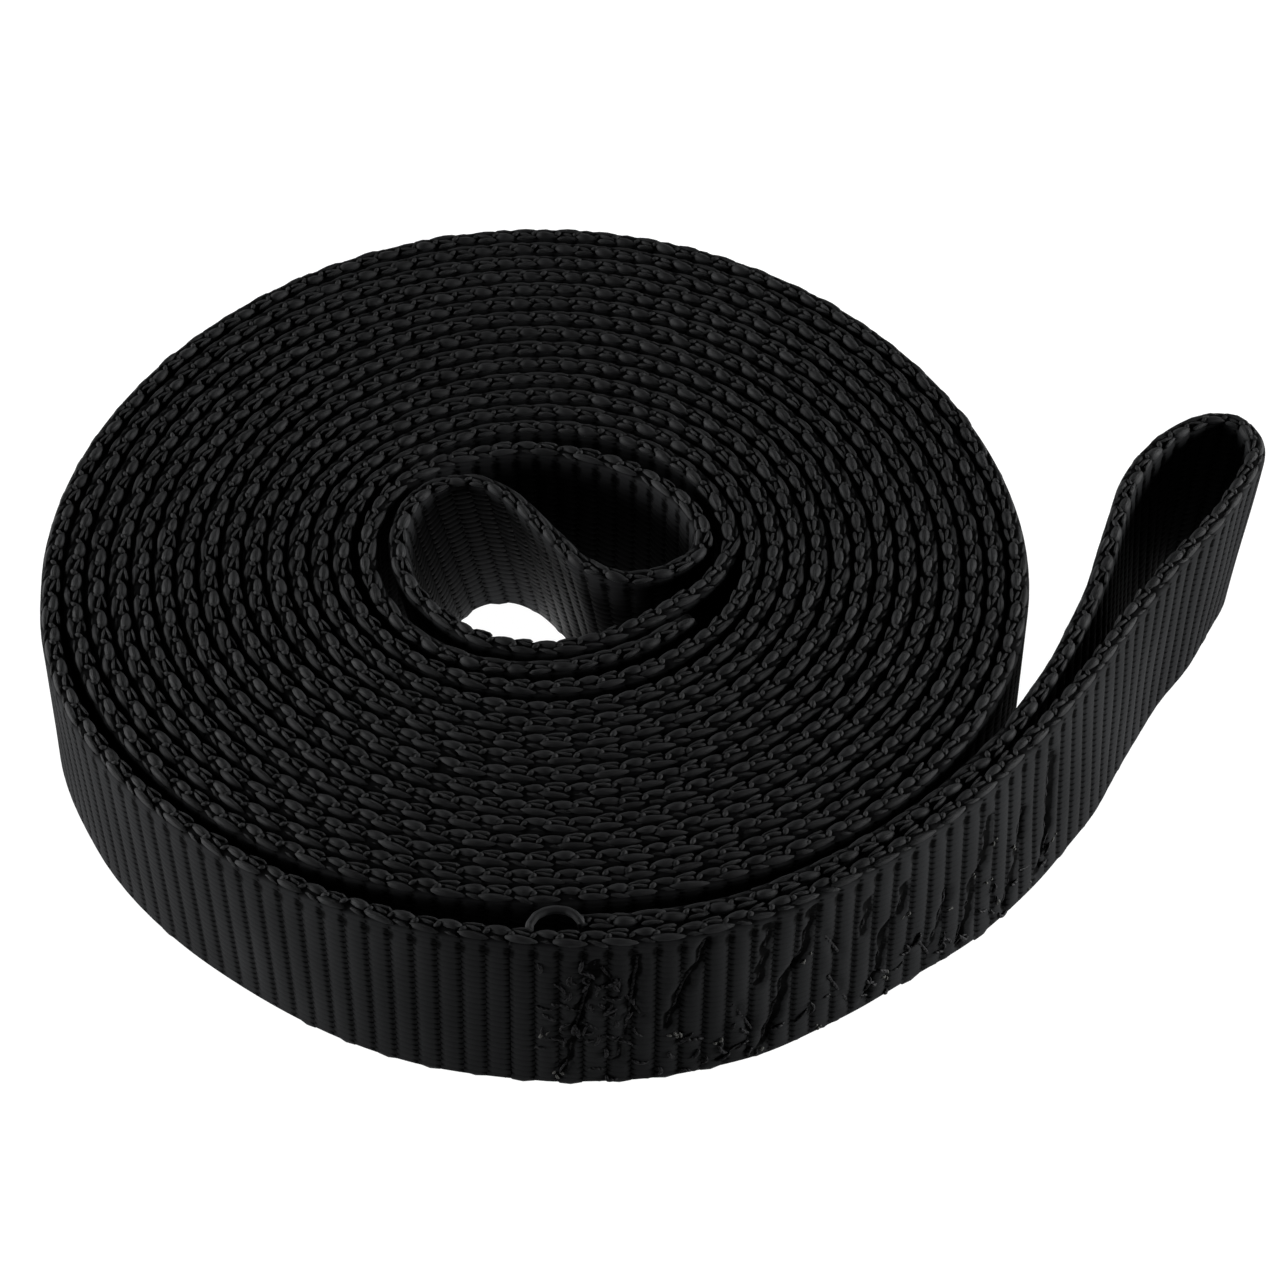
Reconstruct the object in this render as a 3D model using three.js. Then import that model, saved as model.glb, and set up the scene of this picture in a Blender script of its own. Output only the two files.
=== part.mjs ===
// Tow strap of narrow woven webbing, rolled flat and standing on its edge.
// Millimetres, +Z up, +Y to the back, +X towards the outer eye.
// Each end of the webbing is folded back into an eye and sewn down on itself.
import * as THREE from 'three';

// Webbing
const WEBBING_WIDTH = 25;
const WEBBING_THICKNESS = 2.3;
const TURN_GAP = 0.32;

// Roll: centre line radius at the start of the first turn, and how many turns follow it
const CORE_RADIUS = 22.7;
const TURNS = 13.5;
const STEPS_PER_TURN = 40;

// A hand-rolled coil isn't round: three shallow lobes, and slack in its first turns
const LOBES = 3;
const LOBE_DEPTH = 0.9;
const BACK_SLACK = 2.2;
const BACK_SLACK_TURNS = 8;
const FIRST_TURN_PULL = 0.9;
const PULL_TURN = 0.78;
const PULL_REACH = 0.2;

// Stitching: a wide zigzag of thread on the outer face of the outer eye's seam
const THREAD = 0.7;
const THREAD_CLEARANCE = 0.3;
const SEAM_EDGE_MARGIN = 2.8;
const STITCH_STEP = 3.3;
const SEAM_START_INSET = 2.5;
const SEAM_END_INSET = 3;

// Longest step between two sections of the curved stretches
const ROUTE_STEP = 2.4;

// Colours
const WEBBING_BLACK = 0x17181a;
const THREAD_BLACK = 0x0d0e10;

// Inner end, from the fold of its tail round the inner eye to the start of the first turn.
// It fills the core, so it grows and shrinks with CORE_RADIUS.
const INNER_ROUTE = [
  [-16.5, 11.5], [-12.6, 14.4], [-8.5, 16.0], [-4.0, 16.9], [0.3, 16.9], [5.7, 15.5],
  [9.5, 13.9], [13.4, 11.4], [17.0, 7.5], [18.8, 4.1], [19.3, 0.8], [18.1, -1.9],
  [15.9, -3.7], [12.8, -5.2], [9.8, -5.5], [6.4, -4.3], [3.9, -2.3], [2.1, 0.3],
  [0.2, 2.9], [-1.9, 6.0], [-4.6, 9.2], [-8.0, 11.2], [-11.3, 11.2], [-13.8, 10.0],
  [-15.6, 7.9], [-16.9, 5.0], [-17.5, 0.6], [-17.0, -3.4], [-15.2, -8.0], [-12.0, -12.0],
  [-8.6, -14.9], [-5.0, -16.6], [-0.3, -17.3], [3.7, -16.9], [9.9, -14.4], [15.6, -10.2],
  [20.2, -5.8], [22.7, 0],
];

// The inner tail lies outside the last points of INNER_ROUTE before the first turn. How much
// further off than the turns it lies, from its cut end to its fold:
const INNER_TAIL_LOOSENESS = [0.3, 0.25, 0.2, 0.4, 0.8, 1.1, 1.4, 1.2, 0.9, 0.65, 0.4, 0.3];
const POINTS_AFTER_INNER_TAIL = 2;

// The last turn lies loose on the roll. How much further out it lies than a wound turn,
// at even steps of angle from the end of the roll:
const LOOSE_STEP_DEGREES = 7;
const LOOSE_TURN = [
  0.3, 0.9, 1.4, 1.65, 1.6, 1.45, 1.35, 1.35, 1.5, 1.75, 2.0, 2.2, 2.7, 3.2, 3.6, 3.75, 3.5, 3.45, 3.65, 4.1,
];

// Outer eye, from where the strap leaves the roll: distances from the loose turn's last point,
// drawn for a roll whose last turn ends at its left
const OUTER_EYE = [
  [5.4, 6.2], [9.7, 11.5], [14.4, 18.0], [18.5, 24.4], [22.8, 31.0], [27.9, 38.0],
  [33.0, 44.4], [36.8, 50.5], [39.2, 55.1], [39.6, 58.8], [38.2, 61.6], [36.0, 62.6],
  [33.2, 62.0], [29.0, 59.3], [25.6, 55.4], [23.0, 50.9], [21.1, 45.6], [19.2, 39.4],
  [17.4, 34.0], [15.3, 28.8], [13.0, 23.8], [10.5, 19.0], [7.6, 14.0],
];

// The outer tail lies on the inside of the strap, from the outer eye's first point back to here
const OUTER_TAIL_CUT_STEP = 12;

const PITCH = WEBBING_THICKNESS + TURN_GAP;

const bell = (x) => (Math.abs(x) < 1 ? 0.5 + 0.5 * Math.cos(Math.PI * x) : 0);

// Centre line of the roll, a given number of turns out from the start of its first turn
function coilPoint(turn) {
  const angle = 2 * Math.PI * turn;
  const atBack = Math.max(0, Math.sin(angle)) ** 2;
  const slack = BACK_SLACK * Math.max(0, 1 - turn / BACK_SLACK_TURNS) * atBack;
  const pull = FIRST_TURN_PULL * bell((turn - PULL_TURN) / PULL_REACH);
  const lobe = LOBE_DEPTH * (turn / TURNS) * Math.sin(LOBES * angle);
  const radius = CORE_RADIUS + PITCH * turn - slack - pull - lobe;
  return new THREE.Vector3(radius * Math.cos(angle), radius * Math.sin(angle), 0);
}

// Centre line of the loose turn, a given number of its steps after the end of the roll
function loosePoint(looseness, step) {
  const angle = 2 * Math.PI * TURNS + THREE.MathUtils.degToRad(LOOSE_STEP_DEGREES * (step + 1));
  const radius = CORE_RADIUS + (PITCH * angle) / (2 * Math.PI) + looseness;
  return new THREE.Vector3(radius * Math.cos(angle), radius * Math.sin(angle), 0);
}

// A point beside the strap, on the left of its direction of travel
function beside(points, index, distance) {
  const before = points[Math.max(index - 1, 0)];
  const after = points[Math.min(index + 1, points.length - 1)];
  const along = new THREE.Vector3().subVectors(after, before).normalize();
  return new THREE.Vector3(-along.y, along.x, 0).multiplyScalar(distance).add(points[index]);
}

// Inner end: the tail from its cut end to its fold, and then the inner eye
function innerEnd() {
  const drawn = INNER_ROUTE.map(([x, y]) => new THREE.Vector3(x, y, 0));
  const fit = CORE_RADIUS / drawn[drawn.length - 1].length();
  const eye = drawn.map((point) => point.multiplyScalar(fit));
  const start = eye.length - 1 - POINTS_AFTER_INNER_TAIL;
  const tail = INNER_TAIL_LOOSENESS.map((looseness, step) => beside(eye, start - step, -PITCH - looseness));
  return [...tail, ...eye.slice(0, -1)];
}

// Outer end: the loose turn and the outer eye
function outerEnd() {
  const loose = LOOSE_TURN.map(loosePoint);
  const root = loose[loose.length - 1];
  const turned = 2 * Math.PI * TURNS - Math.PI;
  const axis = new THREE.Vector3(0, 0, 1);
  const eye = OUTER_EYE.map(([x, y]) => new THREE.Vector3(x, y, 0).applyAxisAngle(axis, turned).add(root));
  return [...loose, ...eye];
}

// All control points of the centre line, from one cut end to the other
function strapRoute() {
  const inner = innerEnd();
  const coil = [];
  for (let step = 0; step <= TURNS * STEPS_PER_TURN; step += 1) {
    coil.push(coilPoint(step / STEPS_PER_TURN));
  }
  const outer = outerEnd();
  const tail = [];
  for (let index = LOOSE_TURN.length; index >= OUTER_TAIL_CUT_STEP; index -= 1) {
    tail.push(beside(outer, index, PITCH));
  }
  return { inner, coil, outer, tail };
}

// Smooth line through the control points, cut into steps no longer than ROUTE_STEP
// except along the roll, whose own points are the sections
function sampled(controls, isCoil) {
  const curve = new THREE.CatmullRomCurve3(controls, false, 'centripetal');
  const points = [];
  for (let index = 0; index < controls.length - 1; index += 1) {
    const reach = controls[index].distanceTo(controls[index + 1]);
    const pieces = isCoil(index) ? 1 : Math.max(1, Math.round(reach / ROUTE_STEP));
    for (let piece = 0; piece < pieces; piece += 1) {
      points.push(curve.getPoint((index + piece / pieces) / (controls.length - 1)));
    }
  }
  points.push(controls[controls.length - 1].clone());
  return points;
}

// Closed outline of a band of even thickness along a line
function bandOutline(line, thickness) {
  const left = line.map((point, index) => beside(line, index, thickness / 2));
  const right = line.map((point, index) => beside(line, index, -thickness / 2));
  return [...right, ...left.reverse()];
}

function webbing(line, name) {
  const outline = bandOutline(line, WEBBING_THICKNESS);
  const shape = new THREE.Shape(outline.map((point) => new THREE.Vector2(point.x, point.y)));
  const geometry = new THREE.ExtrudeGeometry(shape, { depth: WEBBING_WIDTH, bevelEnabled: false });
  const material = new THREE.MeshStandardMaterial({ color: WEBBING_BLACK, roughness: 0.9, metalness: 0 });
  const mesh = new THREE.Mesh(geometry, material);
  mesh.name = name;
  return mesh;
}

// The seam's zigzag of thread as a flat-sided bar along the outer face. Its corners stand at the
// points of the line, by turns high and low. Each section has four corners, and two more sections
// close the bar's ends.
function zigzagBar(line) {
  const offset = WEBBING_THICKNESS / 2 + THREAD_CLEARANCE;
  const middle = WEBBING_WIDTH / 2;
  const swing = middle - SEAM_EDGE_MARGIN;
  // A steep bar is higher along the strap's width than it is thick
  const steepness = Math.hypot(STITCH_STEP, 2 * swing) / STITCH_STEP;
  const halfHeight = (THREAD / 2) * steepness;
  const corners = [];
  line.forEach((point, index) => {
    const z = middle + (index % 2 ? swing - halfHeight : halfHeight - swing);
    const near = beside(line, index, -offset);
    const far = beside(line, index, -offset - THREAD);
    corners.push([near.x, near.y, z - halfHeight], [far.x, far.y, z - halfHeight]);
    corners.push([far.x, far.y, z + halfHeight], [near.x, near.y, z + halfHeight]);
  });
  const faces = [];
  for (let section = 0; section < line.length - 1; section += 1) {
    for (let side = 0; side < 4; side += 1) {
      const a = section * 4 + side;
      const b = section * 4 + ((side + 1) % 4);
      faces.push([a, a + 4, b], [b, a + 4, b + 4]);
    }
  }
  const last = (line.length - 1) * 4;
  faces.push([0, 1, 2], [0, 2, 3], [last, last + 2, last + 1], [last, last + 3, last + 2]);
  return { corners, faces };
}

function stitching(line, name) {
  const { corners, faces } = zigzagBar(line);
  const positions = faces.flatMap((face) => face.flatMap((corner) => corners[corner]));
  const geometry = new THREE.BufferGeometry();
  geometry.setAttribute('position', new THREE.Float32BufferAttribute(positions, 3));
  const material = new THREE.MeshStandardMaterial({ color: THREAD_BLACK, roughness: 0.7, metalness: 0 });
  const mesh = new THREE.Mesh(geometry, material);
  mesh.name = name;
  return mesh;
}

// Stretch of the outer end that the tail covers, in even stitches
function seamLine(outer) {
  const covered = outer.slice(OUTER_TAIL_CUT_STEP, LOOSE_TURN.length + 1);
  const curve = new THREE.CatmullRomCurve3(covered, false, 'centripetal');
  const length = curve.getLength();
  const from = SEAM_START_INSET / length;
  const to = 1 - SEAM_END_INSET / length;
  const stitches = Math.round((length * (to - from)) / STITCH_STEP);
  const line = [];
  for (let stitch = 0; stitch <= stitches; stitch += 1) {
    line.push(curve.getPointAt(from + ((to - from) * stitch) / stitches));
  }
  return line;
}

const { inner, coil, outer, tail } = strapRoute();
const controls = [...inner, ...coil, ...outer, ...tail];
const firstCoil = inner.length;
const lastCoil = inner.length + coil.length - 1;
const centreLine = sampled(controls, (index) => index >= firstCoil && index < lastCoil);

const strap = webbing(centreLine, 'webbing_strap');
const seam = stitching(seamLine(outer), 'outer_eye_stitching');

// The origin is the middle of the footprint, on the floor
strap.geometry.computeBoundingBox();
const middle = strap.geometry.boundingBox.getCenter(new THREE.Vector3());
const towStrap = new THREE.Group();
towStrap.add(strap, seam);
towStrap.position.set(-middle.x, -middle.y, 0);
towStrap.updateMatrixWorld(true);

const model = new THREE.Group();
model.add(towStrap);

export default model;
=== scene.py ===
"""A tow strap of narrow woven webbing, rolled flat and standing on its edge.

Metres, +Z up, +Y to the back, +X towards the outer eye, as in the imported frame.
Every stretch of the strap follows one route, measured as a distance along the strap from
the cut end in the core. Places across the strap are given as side, to the left of the
route, which is towards the middle of the roll, and as height above the floor.
"""

import math

import bpy
import numpy as np
from bpy.props import FloatProperty, FloatVectorProperty, IntProperty, PointerProperty
from bpy.types import Operator, Panel, PropertyGroup
from mathutils import Matrix, Vector


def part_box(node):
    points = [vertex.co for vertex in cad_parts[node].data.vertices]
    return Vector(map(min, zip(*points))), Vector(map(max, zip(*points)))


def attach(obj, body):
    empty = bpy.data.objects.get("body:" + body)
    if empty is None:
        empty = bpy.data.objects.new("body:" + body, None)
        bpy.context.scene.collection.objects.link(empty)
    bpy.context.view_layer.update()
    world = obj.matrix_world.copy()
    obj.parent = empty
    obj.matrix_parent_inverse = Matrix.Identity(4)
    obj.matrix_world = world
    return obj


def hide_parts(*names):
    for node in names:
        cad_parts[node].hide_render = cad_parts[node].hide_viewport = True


bl_info = {
    "name": "Rolled tow strap",
    "version": (1, 0, 0),
    "blender": (4, 5, 0),
    "location": "3D View > Sidebar > Strap",
    "description": "Builds a rolled webbing tow strap with sewn eyes round its packed frame",
    "category": "Add Mesh",
}

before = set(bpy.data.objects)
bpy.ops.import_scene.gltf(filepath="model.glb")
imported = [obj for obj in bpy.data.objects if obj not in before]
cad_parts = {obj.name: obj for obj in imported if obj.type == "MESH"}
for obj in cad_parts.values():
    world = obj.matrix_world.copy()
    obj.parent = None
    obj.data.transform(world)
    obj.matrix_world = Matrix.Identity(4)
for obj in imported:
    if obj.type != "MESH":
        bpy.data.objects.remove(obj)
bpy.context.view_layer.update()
STRAP_LOW, STRAP_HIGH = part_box("webbing_strap")
MM = 0.001
TAU = 2 * math.pi

# Route of the strap, with the roll's middle at the origin
CORE_RADIUS = 0.0227
TURNS = 13.5
STEPS_PER_TURN = 40
LOBES = 3
LOBE_DEPTH = 0.0009
BACK_SLACK = 0.0022
BACK_SLACK_TURNS = 8
FIRST_TURN_PULL = 0.0009
PULL_TURN = 0.78
PULL_REACH = 0.2
LOOSE_STEP_DEGREES = 7
POINTS_AFTER_INNER_TAIL = 2
OUTER_TAIL_CUT_STEP = 12

# How far the outer tail is cut short of the end of its route
TAIL_TRIM = 0.0024

# Inner end, from the fold of its tail round the inner eye to the start of the first turn
INNER_ROUTE = [
    (-0.0165, 0.0115), (-0.0126, 0.0144), (-0.0085, 0.016), (-0.004, 0.0169), (0.0003, 0.0169),
    (0.0057, 0.0155), (0.0095, 0.0139), (0.0134, 0.0114), (0.017, 0.0075), (0.0188, 0.0041),
    (0.0193, 0.0008), (0.0181, -0.0019), (0.0159, -0.0037), (0.0128, -0.0052), (0.0098, -0.0055),
    (0.0064, -0.0043), (0.0039, -0.0023), (0.0021, 0.0003), (0.0002, 0.0029), (-0.0019, 0.006),
    (-0.0046, 0.0092), (-0.008, 0.0112), (-0.0113, 0.0112), (-0.0138, 0.01), (-0.0156, 0.0079),
    (-0.0169, 0.005), (-0.0175, 0.0006), (-0.017, -0.0034), (-0.0152, -0.008), (-0.012, -0.012),
    (-0.0086, -0.0149), (-0.005, -0.0166), (-0.0003, -0.0173), (0.0037, -0.0169), (0.0099, -0.0144),
    (0.0156, -0.0102), (0.0202, -0.0058), (0.0227, 0.0),
]

# Leans of the eyes and the loose turn: how far the lower edge lies off the upper edge and above
# the floor, and the points where the lean starts, is full, starts to fade and ends. They are
# counted on INNER_ROUTE, or on OUTER_EYE with the loose turn before it as negative numbers
INNER_EYE_LEAN = (0.0048, 0.0028, 0.0009)
INNER_LEAN_POINTS = (11, 17, 26, 31)
OUTER_LEANS = [
    ((0.0013, 0.0008, 0.0), (-20, -17, -14, -9)),
    ((0.0014, -0.0010, 0.0), (-3, 0, 2, 5)),
    ((-0.0022, -0.0008, 0.0), (4, 8, 11, 15)),
    ((0.0014, -0.0036, 0.0), (11, 14, 18, 22)),
]

# How much further off than the turns the inner tail lies, from its cut end to its fold
INNER_TAIL_LOOSENESS = [
    0.0003, 0.00025, 0.0002, 0.0004, 0.0008, 0.0011, 0.0014, 0.0012, 0.0009, 0.00065, 0.0004, 0.0003,
]

# How much further out than a wound turn the last turn lies, at even steps of angle
LOOSE_TURN = [
    0.0003, 0.0009, 0.0014, 0.00165, 0.0016, 0.00145, 0.00135, 0.00135, 0.0015, 0.00175,
    0.002, 0.0022, 0.0027, 0.0032, 0.0036, 0.00375, 0.0035, 0.00345, 0.00365, 0.0041,
]

# Outer eye, as distances from the last point of the loose turn
OUTER_EYE = [
    (0.0054, 0.0062), (0.0097, 0.0115), (0.0144, 0.018), (0.0185, 0.0244), (0.0228, 0.031),
    (0.0279, 0.038), (0.033, 0.0444), (0.0368, 0.0505), (0.0392, 0.0551), (0.0396, 0.0588),
    (0.0382, 0.0616), (0.036, 0.0626), (0.0332, 0.062), (0.029, 0.0593), (0.0256, 0.0554),
    (0.023, 0.0509), (0.0211, 0.0456), (0.0192, 0.0394), (0.0174, 0.034), (0.0153, 0.0288),
    (0.013, 0.0238), (0.0105, 0.019), (0.0076, 0.014),
]

# Weave
RIB_PROFILE = (0.0, 0.09, 0.24, 0.5, 0.76, 0.91)
ROUTE_STEP = 0.25 * MM
PLAIN_STEP = 1.6 * MM
SELVEDGE_REPEAT_RIBS = 2
RIB_FADE = (0.9 * MM, 2.1 * MM)
EDGE_ROUND = 1.1 * MM
SELVEDGE_SINK = 0.45 * MM
SELVEDGE_HEADROOM = 0.08 * MM
EDGE_BEND = (28, 62, 90, 118, 152)
RIB_ROUNDNESS = 0.97
STATION_CLEARANCE = 0.1 * MM
TURNS_SEEN_OUTSIDE = 1.2
WOUND_ROWS = 2
SEWN_LEAD = 4 * MM
SEWN_ROWS = 40
YARN_SLANT = 0.45
# Heights where the painted shade in the rib grooves below the upper rim rises in and falls away
GROOVE_TOP_SHADE_RISE = (21.6 * MM, 22.6 * MM)
GROOVE_TOP_SHADE_FALL = (23.1 * MM, 23.5 * MM)
# Where the painted shade at both rims of the webbing, under the selvedge loops, starts and is full
RIM_SHADE = (-0.9 * MM, -0.6 * MM)

# Loops of one repeat of the selvedge: place in the repeat, distance from the middle of the
# edge and top below the webbing's edge in mm, length, width and height in mm, turn in degrees,
# and how finely the loop is made
UPPER_LOOPS = [
    (0.24, 0.45, 0.0, (3.1, 1.35, 1.3), -5, (5, 8)),
    (0.74, -0.50, -0.12, (4.3, 0.98, 1.2), -4, (5, 7)),
    (0.72, 0.90, -0.12, (2.6, 0.52, 0.8), 4, (3, 6)),
    (0.72, 0.36, -0.08, (2.2, 0.56, 0.8), -16, (3, 6)),
    (0.50, 0.10, -0.03, (1.1, 0.8, 1.0), 35, (3, 6)),
    (0.98, 0.12, -0.06, (1.1, 0.72, 0.9), 40, (3, 6)),
    (0.27, -0.58, -0.3, (2.6, 0.66, 1.0), -12, (3, 6)),
]
LOWER_LOOPS = [
    (0.24, 0.45, 0.0, (3.1, 1.35, 1.3), -5, (3, 6)),
    (0.74, -0.50, -0.02, (3.5, 1.05, 1.3), -4, (3, 6)),
    (0.50, 0.10, -0.22, (1.1, 0.8, 1.0), 35, (2, 5)),
    (0.27, -0.58, -0.34, (2.4, 0.72, 1.0), -12, (2, 5)),
]
UPPER_SELVEDGE_PIECES = 3
TEARDROP = 0.25
LOOP_SIZE_SPREAD = 0.05
LOOP_SIZE_LIMITS = (0.85, 1.15)
LOOP_TURN_SPREAD = 0.05
LOOP_PLACE_SPREAD = (0.08 * MM, 0.035 * MM, 0.04 * MM)

# Seam. Each groove has its depth, then pairs of height and distance from the tail's cut end, in mm
SEAM_GROOVES = [
    (1.0, [(9.6, 12.2), (16.5, 14.0), (19.5, 15.3), (23.2, 16.3)]),
    (0.9, [(13.6, 22.5), (18.2, 23.2), (23.2, 23.5)]),
    (1.2, [(2.6, 23.4), (9.3, 25.4), (13.6, 26.0), (15.8, 28.1), (23.0, 28.9)]),
    (0.8, [(14.2, 36.1), (19.4, 36.8)]),
    (1.2, [(2.3, 37.0), (7.6, 39.1), (13.5, 39.2), (14.3, 41.6), (18.6, 41.9)]),
    (0.8, [(5.4, 46.7), (12.8, 48.4)]),
    (1.1, [(1.9, 50.7), (6.8, 52.2), (12.2, 52.7), (13.2, 54.3), (20.0, 54.9)]),
    (0.9, [(2.0, 58.4), (8.0, 60.3), (15.5, 61.6)]),
    (1.1, [(2.3, 65.0), (8.5, 67.0), (20.0, 67.5)]),
    (0.9, [(3.0, 1.2), (11.0, 2.4), (21.5, 4.4)]),
    (0.7, [(4.5, 6.8), (12.5, 8.0), (22.0, 9.0)]),
    (0.5, [(11.6, 9.8), (20.6, 5.0)]),
    (0.4, [(12.8, 33.0), (18.0, 30.4)]),
    (0.5, [(5.6, 22.2), (11.2, 19.7)]),
    (0.4, [(3.4, 34.6), (9.8, 31.6)]),
    (0.4, [(3.0, 46.5), (8.6, 43.8)]),
]
SEAM_INSET = 2.5 * MM
STITCH_GROOVE = 0.5 * MM
GROOVE_END = 0.9 * MM
GROOVE_SHOWS = 0.16 * MM
GROOVE_WANDER = 0.22 * MM
GROOVE_WANDER_STEP = 0.55 * MM
BILLOW = 0.10 * MM
BILLOW_LENGTHS = (3.1 * MM, 4.3 * MM, 7.0 * MM)
SEWN_RIBS = 0.5
SEWN_RIBS_START = 2.5 * MM
INSIDE_PUCKER = 0.3
WEAR_START = 6 * MM
WEAR_END = 8 * MM
WEAR_HEIGHT = 9 * MM
WEAR_LEAST = 0.25
GROOVE_SHADE_DEPTH = 0.3 * MM
THREAD_TWIST = 0.7 * MM
THREAD_POINTS = 36
STITCH_LENGTH = 2.4 * MM
STITCH_DIP = 0.5
THREAD_SINK = 0.6
THREAD_SIDES = 6

# Loose yarns at the tail's cut end, as distance from the cut end, side and height in mm
TAIL_LOOP = [
    (-2.9, 0.9, 23.9), (-2.9, 1.7, 24.5), (-2.3, 2.7, 24.8), (-1.3, 3.4, 24.85), (-0.1, 3.7, 24.9),
    (1.2, 3.6, 24.85), (2.1, 3.1, 24.8), (2.7, 2.5, 24.6), (3.0, 2.2, 24.2),
]
TAIL_LOOP_RADIUS = 0.48 * MM
TAIL_LOOP_POINTS = 40
TAIL_LOOP_SIDES = 10

# Frayed yarns and lint, with least and most in mm: near the tail's cut end and along the seam
FRAYED_YARNS = 100
NEAR_CUT, NEAR_CUT_HEIGHTS = (-2, 9), (2, 20)
ALONG_SEAM, ALONG_SEAM_HEIGHTS = (9, 68), (1.6, 7)
FRAYED_LENGTH = (1.0, 2.8)
LINT_TUFTS = 46
LINT_LENGTH = (0.3, 0.8)
LINT_SPREAD = (0.3 * MM, 0.25 * MM)
LINT_LOWEST = 0.6 * MM
LINT_THICKNESS = 0.7
STRAND_POINTS = 9
STRAND_SIDES = 5
STRAND_BEND = 2.2
STRAND_HEIGHTS = (1.3 * MM, 23.6 * MM)
STRAND_SEAT = 0.02 * MM
STRAND_LIFT = (0.0, 0.16)
STRAND_RADIUS = (0.13, 0.3)
STRAND_TIP = 0.35
YARN_TONE_STEP = 0.37

# Pale chafed spots on the seam, as distance from the cut end and height in mm
CHAFED_SPOTS = [
    (-1.1, 9.3), (0.2, 2.4), (13.3, 8.1), (14.1, 7.9), (17.8, 5.2), (23.4, 1.9), (28.6, 14.8),
    (30.9, 1.7), (40.0, 4.2), (42.3, 13.1), (49.0, 9.3), (52.8, 12.7), (56.9, 3.8), (55.2, 9.3),
    (56.1, 15.7), (59.7, 11.0), (63.4, 2.0), (68.4, 5.9),
]

# Finishes. A mark is where a shade starts to show and where it shows in full. The groove, yarn gap,
# groove top, rim and stitch groove shades of the webbing and the ply shade of the thread are painted
# shade: darkness painted into the colour where hollows would lie in shadow. A grain is a noise's scale
# along the strap, its scale across it and its offset. A tone is a share of the base colour. A surface is
# roughness, what the grain adds to it, the relief's depth and the specular level
GROOVE_MARK = (0.45, 0.92)
YARN_GAP_MARK = (0.45, 1.0)
GROOVE_TOP_SHADE_MARK = (0.35, 0.75)
STITCH_GROOVE_SHADE_MARK = (0.05, 0.6)
BLOTCH_MARK = (0.35, 0.75)
SPECK_MARK = (0.62, 0.74)
WEAR_MARK = (0.02, 0.2)
FILAMENT_GRAIN = (500, 8000, 0.0)
BLOTCH_GRAIN = (90, 60, 3.0)
SPECK_GRAIN = (420, 600, 7.0)
SPECK_DETAIL = (4.0, 0.65)
# Amounts of painted shade in the dips, in the grooves, between the yarns, at the rims and in the groove
# tops
DIP_SHADE, GROOVE_SHADE, YARN_GAP_SHADE, RIM_SHADE_AMOUNT, GROOVE_TOP_SHADE_AMOUNT = 0.5, 0.5, 0.12, 0.7, 0.75
# Tone of the painted shade, then the blotches' tone and share
PAINTED_SHADE_TONE, BLOTCH_TONE, BLOTCH_SHARE = 0.12, 1.45, 0.6
WEAR_SPREAD, WORN_SHARE, WORN_TONE = 0.4, 0.4, 0.75
YARN_RELIEF, DIP_RELIEF, FILAMENT_RELIEF, WORN_RELIEF = 0.32, 0.9, 0.2, 0.25
WEBBING_SURFACE = (0.62, 0.2, 0.16 * MM, 0.01)
LOOP_GRAIN, LOOP_OFFSET = (1.4, 5.5), 40
LOOP_PATCH_MARK, LOOP_PATCH_SHARE = (0.45, 0.8), 0.5
LOOP_TONES, LOOP_PATCH_TONE = (0.75, 1.35), 1.9
SELVEDGE_SURFACE = (0.5, 0.25, 0.09 * MM, 0.05)
THREAD_GRAIN = (3000, 2)
FUZZ_MARK, FUZZ_SHARE, FUZZ_TONE = (0.6, 0.8), 0.5, 2.4
PLY_SHADE_SHARE, PLY_SHADE_TONE = 0.7, 0.3
THREAD_SURFACE = (0.5, 0.2, 0.1 * MM, 0.05)
LINT_GRAIN, LINT_OFFSET = 900, 9
LINT_TONES = (0.35, 0.8)
LINT_SURFACE = (0.7, 0.2, 0.05 * MM, 0.05)
FLOOR_GRAIN_SCALE, FLOOR_GRAIN_SHARE, FLOOR_TONE = 60.0, 0.4, 0.97
FLOOR_ROUGHNESS, FLOOR_GRAIN_ROUGHNESS, FLOOR_SPECULAR = 0.85, 0.1, 0.1

# Light
FLOOR_GLOW = 1.0
FLOOR_DROP = -0.00005
WORLD_STRENGTH = 0.03
LEFT_LIGHT = (-0.95, 0.08, 0.15)
RIGHT_LIGHT = (0.95, 0.08, 0.15)
SIDE_LIGHT_SIZE = (0.9, 0.24)
TOP_LIGHT = (0.0, 0.9, 0.7)
TOP_LIGHT_SIZE = (0.8, 0.8)
CORE_LIGHT = (-0.004, 0.0085, 0.0004)
CORE_LIGHT_SIZE = (0.011, 0.006)

# Camera, as the photograph was taken: place and aim of the lens about the roll's middle,
# with its angles in degrees
LENS_MM = 107.26
SENSOR_MM = 36.0
CAMERA_DISTANCE = 0.47315
CAMERA_ELEVATION = 46.040
CAMERA_PAN = 2.076
CAMERA_TILT = -0.704
CAMERA_ROLL = -1.101
CAMERA_CLIP = (0.01, 20)


def bell(x):
    """A smooth hump one high between -1 and 1."""
    return 0.5 + 0.5 * np.cos(math.pi * np.clip(x, -1, 1))


def smooth(low, high, x):
    """0 below low, 1 above high, and smooth between."""
    t = np.clip((x - low) / (high - low), 0, 1)
    return t * t * (3 - 2 * t)


def tint(colour, tone):
    """A colour made darker or paler."""
    return tuple(tone * part for part in colour)


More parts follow.
